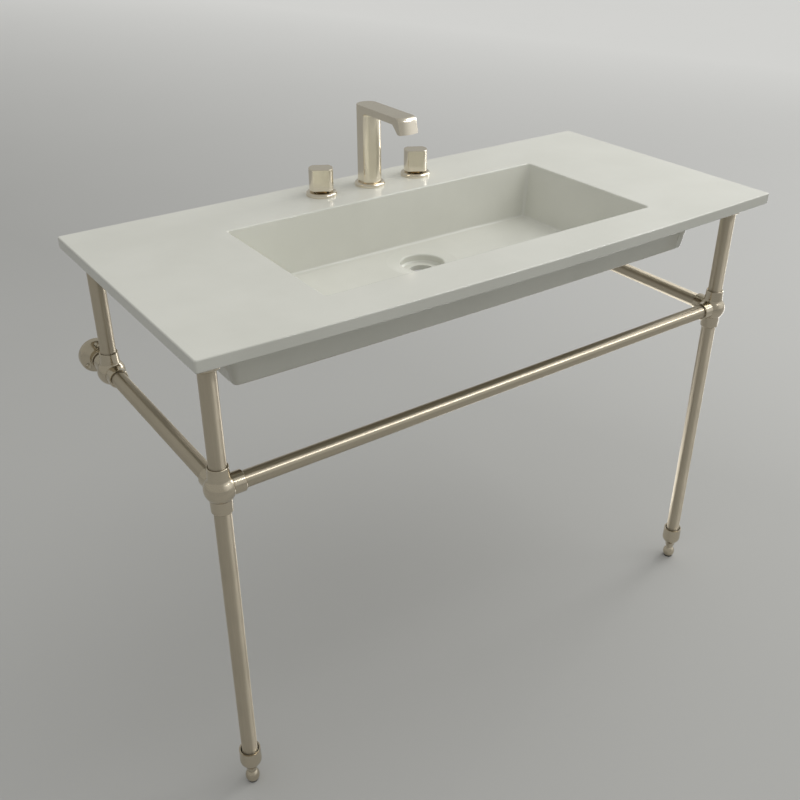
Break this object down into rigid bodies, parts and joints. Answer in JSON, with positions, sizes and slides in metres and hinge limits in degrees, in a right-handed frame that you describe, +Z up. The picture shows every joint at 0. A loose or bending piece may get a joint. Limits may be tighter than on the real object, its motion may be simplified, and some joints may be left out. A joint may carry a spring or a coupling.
{
  "type": "console bathroom sink",
  "caption": "Rectangular basin in a wide bowed slab on a tubular metal console frame with front legs and wall flanges, with a bent spout and turning knobs.",
  "frame": {"origin": "on the floor, under the middle of the whole part's box", "axes": "+Z up, -Y towards the user, +Y towards the wall, +X to the user's right"},
  "size_m": [1.143, 0.5739, 1.013],
  "materials": {
    "fireclay": "satin glaze",
    "nickel_tube": "brushed nickel",
    "nickel_fitting": "brushed nickel",
    "nickel_faucet": "satin nickel",
    "steel_hardware": "plain steel",
    "brass_shank": "machined brass",
    "rubber": "matte black rubber",
    "outlet_plastic": "dark grey plastic"
  },
  "bodies": {
    "console": {"deck_metal_washers": "steel_hardware", "deck_nuts": "brass_shank", "deck_rubber_washers": "rubber", "frame_set_screws": "steel_hardware", "front_cross_bar": "nickel_tube", "left_ball_fitting": "nickel_fitting", "left_foot_cup": "nickel_fitting", "left_front_collar": "nickel_fitting", "left_front_leg": "nickel_tube", "left_front_post": "nickel_tube", "left_handle_ring": "nickel_faucet", "left_leg_insert": "brass_shank", "left_rear_collar": "nickel_fitting", "left_rear_fitting": "nickel_fitting", "left_rear_post": "nickel_tube", "left_side_rail": "nickel_tube", "left_valve_body": "brass_shank", "left_valve_bonnet": "brass_shank", "left_wall_flange": "nickel_fitting", "left_wall_stub": "nickel_tube", "post_pads": "rubber", "right_ball_fitting": "nickel_fitting", "right_foot_cup": "nickel_fitting", "right_front_collar": "nickel_fitting", "right_front_leg": "nickel_tube", "right_front_post": "nickel_tube", "right_handle_ring": "nickel_faucet", "right_leg_insert": "brass_shank", "right_rear_collar": "nickel_fitting", "right_rear_fitting": "nickel_fitting", "right_rear_post": "nickel_tube", "right_side_rail": "nickel_tube", "right_valve_body": "brass_shank", "right_valve_bonnet": "brass_shank", "right_wall_flange": "nickel_fitting", "right_wall_stub": "nickel_tube", "sink_top": "fireclay", "spout_base_ring": "nickel_faucet", "spout_body": "nickel_faucet", "spout_outlet_insert": "outlet_plastic", "spout_shank": "brass_shank"},
    "left_handle": {"left_handle_knob": "nickel_faucet", "left_knob_screw": "steel_hardware", "left_valve_stem": "brass_shank"},
    "left_leveller": {"left_levelling_foot": "nickel_fitting", "left_foot_pad": "rubber"},
    "right_handle": {"right_handle_knob": "nickel_faucet", "right_knob_screw": "steel_hardware", "right_valve_stem": "brass_shank"},
    "right_leveller": {"right_levelling_foot": "nickel_fitting", "right_foot_pad": "rubber"}
  },
  "joints": [
    {"name": "left_handle_turn", "type": "hinge", "parent": "console", "child": "left_handle", "pos_m": [-0.1054, 0.1926, 0.8745], "axis": [0, 0, 1], "range_deg": [0, 90]},
    {"name": "right_handle_turn", "type": "hinge", "parent": "console", "child": "right_handle", "pos_m": [0.1054, 0.1926, 0.8745], "axis": [0, 0, 1], "range_deg": [-90, 0]},
    {"name": "left_leveller_slide", "type": "slide", "parent": "console", "child": "left_leveller", "axis": [0, 0, -1], "range_m": [-0.003, 0.01]},
    {"name": "right_leveller_slide", "type": "slide", "parent": "console", "child": "right_leveller", "axis": [0, 0, -1], "range_m": [-0.003, 0.01]}
  ]
}
